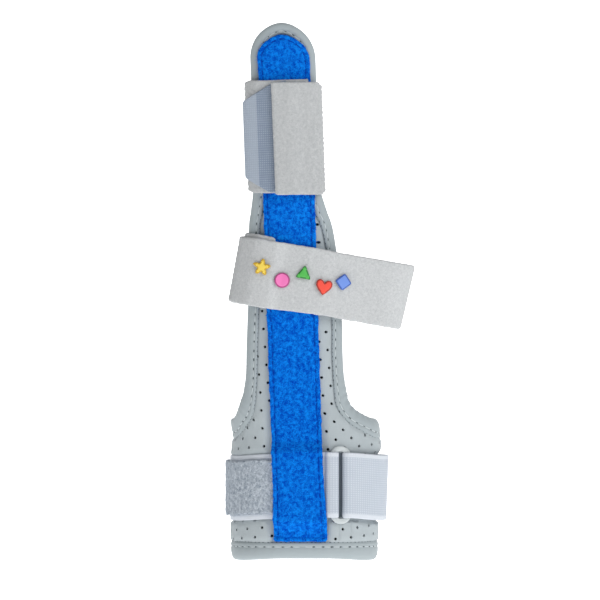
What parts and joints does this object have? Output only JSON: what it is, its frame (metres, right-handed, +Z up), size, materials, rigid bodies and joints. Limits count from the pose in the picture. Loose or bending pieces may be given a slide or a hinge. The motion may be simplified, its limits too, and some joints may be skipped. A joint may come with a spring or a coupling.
{
  "type": "finger brace",
  "caption": "Fabric brace for one finger: a perforated panel from fingertip to wrist with a cuff, a loop strip, and finger, hand and wrist straps",
  "frame": {"origin": "on the axis of the wrist hollow, level with the cuff's lower edge", "axes": "+Z runs up along the hand and finger, +X runs to the right seen from the back of the hand, and the back of the hand faces -Y"},
  "size_m": [0.0715, 0.0547, 0.2066],
  "materials": {
    "foam": "matte closed-cell foam with a thin knit backing",
    "panel_cloth": "smooth satin knit, perforated",
    "binding_tape": "smooth stretch tape, stitched",
    "blue_loop": "brushed loop pile",
    "webbing": "fine woven webbing with plain selvedges",
    "grey_pile": "brushed loop pile",
    "clear_plastic": "moulded milky plastic",
    "plush": "soft plush",
    "hook_tape": "woven tape over hooks",
    "badge_yellow": "soft moulded rubber",
    "badge_pink": "soft moulded rubber",
    "badge_green": "soft moulded rubber",
    "badge_red": "soft moulded rubber",
    "badge_blue": "soft moulded rubber"
  },
  "bodies": {
    "root": {"foam_core": "foam", "panel_face": "panel_cloth", "edge_binding": "binding_tape", "spine_strip": "blue_loop", "wrist_strap": "webbing", "wrist_strap_pile": "grey_pile", "strap_ring": "clear_plastic", "finger_strap": "plush", "finger_strap_tab": "hook_tape", "hand_strap": "plush", "badge_star": "badge_yellow", "badge_disc": "badge_pink", "badge_triangle": "badge_green", "badge_heart": "badge_red", "badge_diamond": "badge_blue"}
  },
  "joints": []
}
